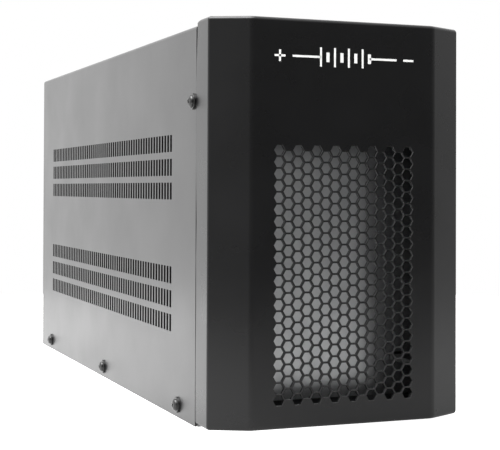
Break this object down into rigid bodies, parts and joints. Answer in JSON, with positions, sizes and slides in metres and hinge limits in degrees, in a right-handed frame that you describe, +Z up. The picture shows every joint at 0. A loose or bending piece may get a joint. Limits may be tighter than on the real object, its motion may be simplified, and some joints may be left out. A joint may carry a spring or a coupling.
{
  "type": "ups battery pack",
  "caption": "Tower-style external battery pack for a UPS: black sheet-steel case with slotted sides, a chamfered honeycomb front and direct-current sockets at the rear.",
  "frame": {"origin": "on the floor under the middle of the pack's overall box", "axes": "+X to the right of someone facing the honeycomb front, +Y to the rear, +Z up"},
  "size_m": [0.1512, 0.413, 0.2127],
  "materials": {
    "cover_paint": "satin black powder coat",
    "bezel_plastic": "fine-grained satin black moulding",
    "zinc_sheet": "zinc-plated sheet",
    "screw_black": "black zinc",
    "screw_zinc": "bright zinc",
    "battery_case": "dark grey moulding",
    "tab_plate": "tin-plated brass",
    "foam": "closed-cell foam",
    "lead_black": "black cable and boots",
    "lead_red": "red cable and boots",
    "holder_plastic": "black moulding",
    "fuse_amber": "amber moulding",
    "socket_plastic": "grey moulding",
    "contact_silver": "silver-plated copper",
    "bus_copper": "bare copper"
  },
  "bodies": {
    "root": {"base_pad": "foam", "base_tray": "zinc_sheet", "battery_front_high": "battery_case", "battery_front_low": "battery_case", "battery_front_middle": "battery_case", "battery_rear_high": "battery_case", "battery_rear_low": "battery_case", "battery_rear_middle": "battery_case", "battery_tabs": "tab_plate", "bus_negative": "bus_copper", "bus_positive": "bus_copper", "cover": "cover_paint", "cover_screws": "screw_black", "divider_pad": "foam", "front_bezel": "bezel_plastic", "front_pad": "foam", "front_plate": "zinc_sheet", "fuse": "fuse_amber", "fuse_holder": "holder_plastic", "fuse_lead": "lead_red", "fuse_tabs": "tab_plate", "negative_lead": "lead_black", "positive_lead": "lead_red", "rear_panel": "cover_paint", "series_jumpers": "lead_black", "side_pad_front": "foam", "side_pad_rear": "foam", "socket_contacts": "contact_silver", "socket_left": "socket_plastic", "socket_right": "socket_plastic", "socket_screws": "screw_black", "strap_front": "zinc_sheet", "strap_pads": "foam", "strap_rear": "zinc_sheet", "strap_screws": "screw_zinc", "top_link": "lead_black"}
  },
  "joints": []
}
